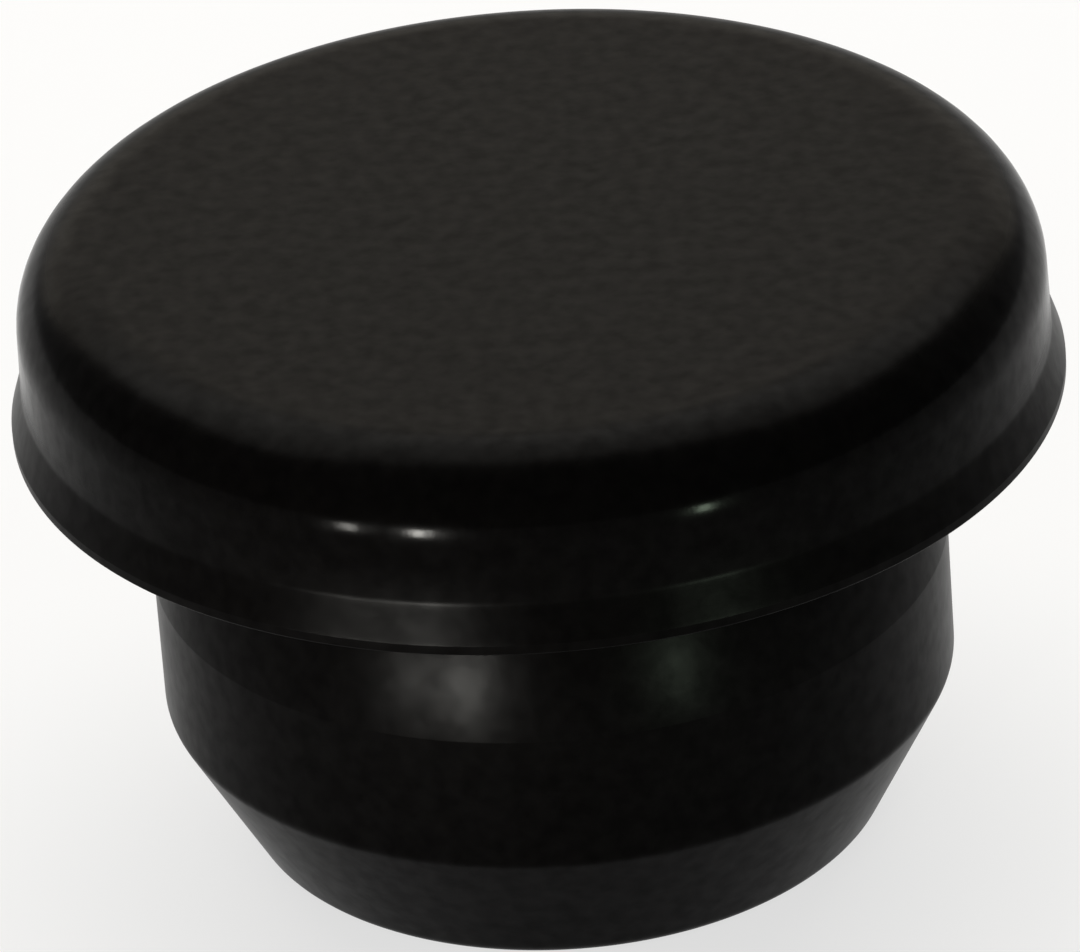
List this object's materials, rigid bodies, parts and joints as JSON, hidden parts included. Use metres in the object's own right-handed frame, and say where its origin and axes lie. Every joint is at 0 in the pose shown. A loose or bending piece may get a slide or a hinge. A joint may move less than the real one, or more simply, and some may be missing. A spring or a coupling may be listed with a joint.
{
  "type": "plastic hole plug",
  "caption": "Round push-in plug with a flat, round-shouldered head, thin flared lip, barbed shank and tapered hollow nose, for closing a hole in a panel.",
  "frame": {"origin": "centre of the lip's seat, the plane that lies on the panel", "axes": "+Z along the plug's axis, out of the panel towards the crown of the head; the shank points along -Z"},
  "size_m": [0.0254, 0.0254, 0.0159],
  "materials": {
    "moulded_plastic": "black, fine satin as moulded"
  },
  "bodies": {
    "root": {"hole_plug": "moulded_plastic"}
  },
  "joints": []
}
